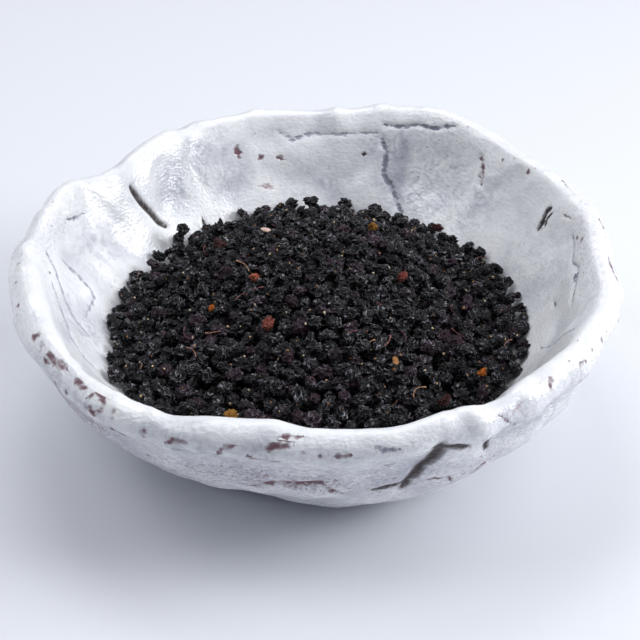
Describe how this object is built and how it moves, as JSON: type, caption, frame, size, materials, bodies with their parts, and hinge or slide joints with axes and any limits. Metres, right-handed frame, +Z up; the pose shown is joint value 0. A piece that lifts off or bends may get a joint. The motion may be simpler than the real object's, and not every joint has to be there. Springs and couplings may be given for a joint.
{
  "type": "bowl of dried elderberries",
  "caption": "Hand-pressed white glazed bowl, open at the top, holding a low mound of loose, wrinkled dried elderberries with a few stalks and seeds.",
  "frame": {"origin": "centre of the bowl's flat underside, on the surface that it stands on", "axes": "+Z up, through the open mouth; -Y towards the front, where the rim dips and the mound faces the viewer; +X to the viewer's right"},
  "size_m": [0.161, 0.1611, 0.0509],
  "materials": {
    "white_glaze": "glossy white glaze, blue-grey where it pools, over red-brown clay that shows in veins and speckles",
    "black_berry": "near-black wrinkled dried skin with a soft sheen and a plum tint",
    "red_berry": "wrinkled dried skin that stayed red-brown to plum",
    "tan_berry": "wrinkled dried skin that stayed tan",
    "seed": "matt brown seed coat",
    "stalk": "dry fibrous stalk, brown to wine red"
  },
  "bodies": {
    "root": {"berry_stalk_01": "stalk", "berry_stalk_02": "stalk", "berry_stalk_03": "stalk", "berry_stalk_04": "stalk", "berry_stalk_05": "stalk", "berry_stalk_06": "stalk", "berry_stalk_07": "stalk", "berry_stalk_08": "stalk", "berry_stalk_09": "stalk", "berry_stalk_10": "stalk", "berry_stalk_11": "stalk", "berry_stalk_12": "stalk", "berry_stalk_13": "stalk", "black_elderberry_01": "black_berry", "black_elderberry_02": "black_berry", "black_elderberry_03": "black_berry", "black_elderberry_04": "black_berry", "black_elderberry_05": "black_berry", "black_elderberry_06": "black_berry", "black_elderberry_07": "black_berry", "black_elderberry_08": "black_berry", "black_elderberry_09": "black_berry", "black_elderberry_10": "black_berry", "black_elderberry_11": "black_berry", "black_elderberry_12": "black_berry", "black_elderberry_13": "black_berry", "black_elderberry_14": "black_berry", "black_elderberry_15": "black_berry", "black_elderberry_16": "black_berry", "black_elderberry_17": "black_berry", "black_elderberry_18": "black_berry", "black_elderberry_19": "black_berry", "black_elderberry_20": "black_berry", "bowl": "white_glaze", "elderberry_heap": "black_berry", "elderberry_seed_01": "seed", "elderberry_seed_02": "seed", "red_elderberry_01": "red_berry", "red_elderberry_02": "red_berry", "red_elderberry_03": "red_berry", "red_elderberry_04": "red_berry", "red_elderberry_05": "red_berry", "red_elderberry_06": "red_berry", "red_elderberry_07": "red_berry", "red_elderberry_08": "red_berry", "red_elderberry_09": "red_berry", "tan_elderberry_01": "tan_berry", "tan_elderberry_02": "tan_berry", "tan_elderberry_03": "tan_berry", "tan_elderberry_04": "tan_berry"}
  },
  "joints": []
}
